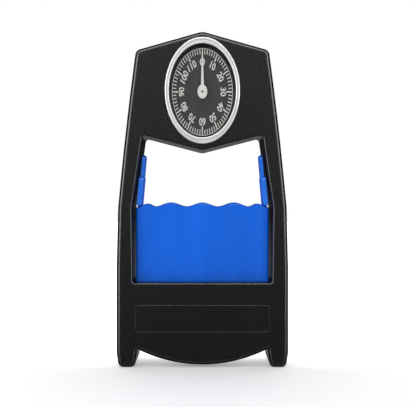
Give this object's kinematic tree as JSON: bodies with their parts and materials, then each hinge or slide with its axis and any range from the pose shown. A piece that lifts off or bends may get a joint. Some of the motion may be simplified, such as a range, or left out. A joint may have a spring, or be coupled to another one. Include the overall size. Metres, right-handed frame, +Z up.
{
  "type": "hand dynamometer",
  "caption": "Mechanical hand dynamometer: a black two-shell frame with an oval needle dial in its head and a blue scalloped grip that slides down in a finger opening.",
  "frame": {"origin": "middle of the footprint, on the surface that the feet stand on", "axes": "+Z up from the feet to the head's peak, +X to the right seen from the front, +Y from the dial's face to the back"},
  "size_m": [0.1036, 0.0292, 0.2021],
  "materials": {
    "black_abs": "fine moulded satin",
    "blue_grip": "satin, moulded finger grooves",
    "blue_arms": "satin",
    "bezel_chrome": "plated, with a matt groove",
    "clear_acrylic": "polished",
    "black_rubber": "matt",
    "dial_paint": "matt black with white print",
    "pointer_paint": "white enamel",
    "brass": "turned and stamped",
    "zinc_steel": "zinc plated",
    "spring_steel": "oiled wire",
    "nylon": "natural moulded"
  },
  "bodies": {
    "housing": {"front_shell": "black_abs", "rear_shell": "black_abs", "shell_screws": "zinc_steel", "dial_bezel": "bezel_chrome", "dial_lens": "clear_acrylic", "lens_gasket": "black_rubber", "dial_plate": "dial_paint", "dial_screws": "zinc_steel", "front_bush": "brass", "rear_bush": "brass", "front_movement_plate": "brass", "rear_movement_plate": "brass", "movement_pillars": "brass", "movement_screws": "zinc_steel", "plate_screws": "zinc_steel", "rack_guide": "nylon", "spring_seats": "nylon", "load_spring_left": "spring_steel", "load_spring_right": "spring_steel"},
    "grip": {"grip_cradle": "blue_arms", "grip_front": "blue_grip", "grip_rear": "blue_grip", "grip_screws": "zinc_steel", "stirrup": "zinc_steel", "stirrup_screws": "zinc_steel", "return_buffers": "black_rubber", "spring_cups": "nylon", "yoke": "zinc_steel", "yoke_rivets": "zinc_steel", "rack": "brass", "rack_screws": "zinc_steel"},
    "pointer": {"pointer": "pointer_paint", "pinion_arbor": "brass"}
  },
  "joints": [
    {"name": "grip_slide", "type": "slide", "parent": "housing", "child": "grip", "axis": [0, 0, -1], "range_m": [0, 0.0144], "stiffness_N_per_m": 73500, "springref_m": -0.0003, "deforming": ["load_spring_left", "load_spring_right"]},
    {"name": "pointer_spin", "type": "hinge", "parent": "housing", "child": "pointer", "pos_m": [0, 0, 0.1664], "axis": [0, 1, 0], "range_deg": [0, 330.1]}
  ],
  "couplings": [
    {"joint": "pointer_spin", "follows": "grip_slide", "rad_per_m": 400}
  ]
}
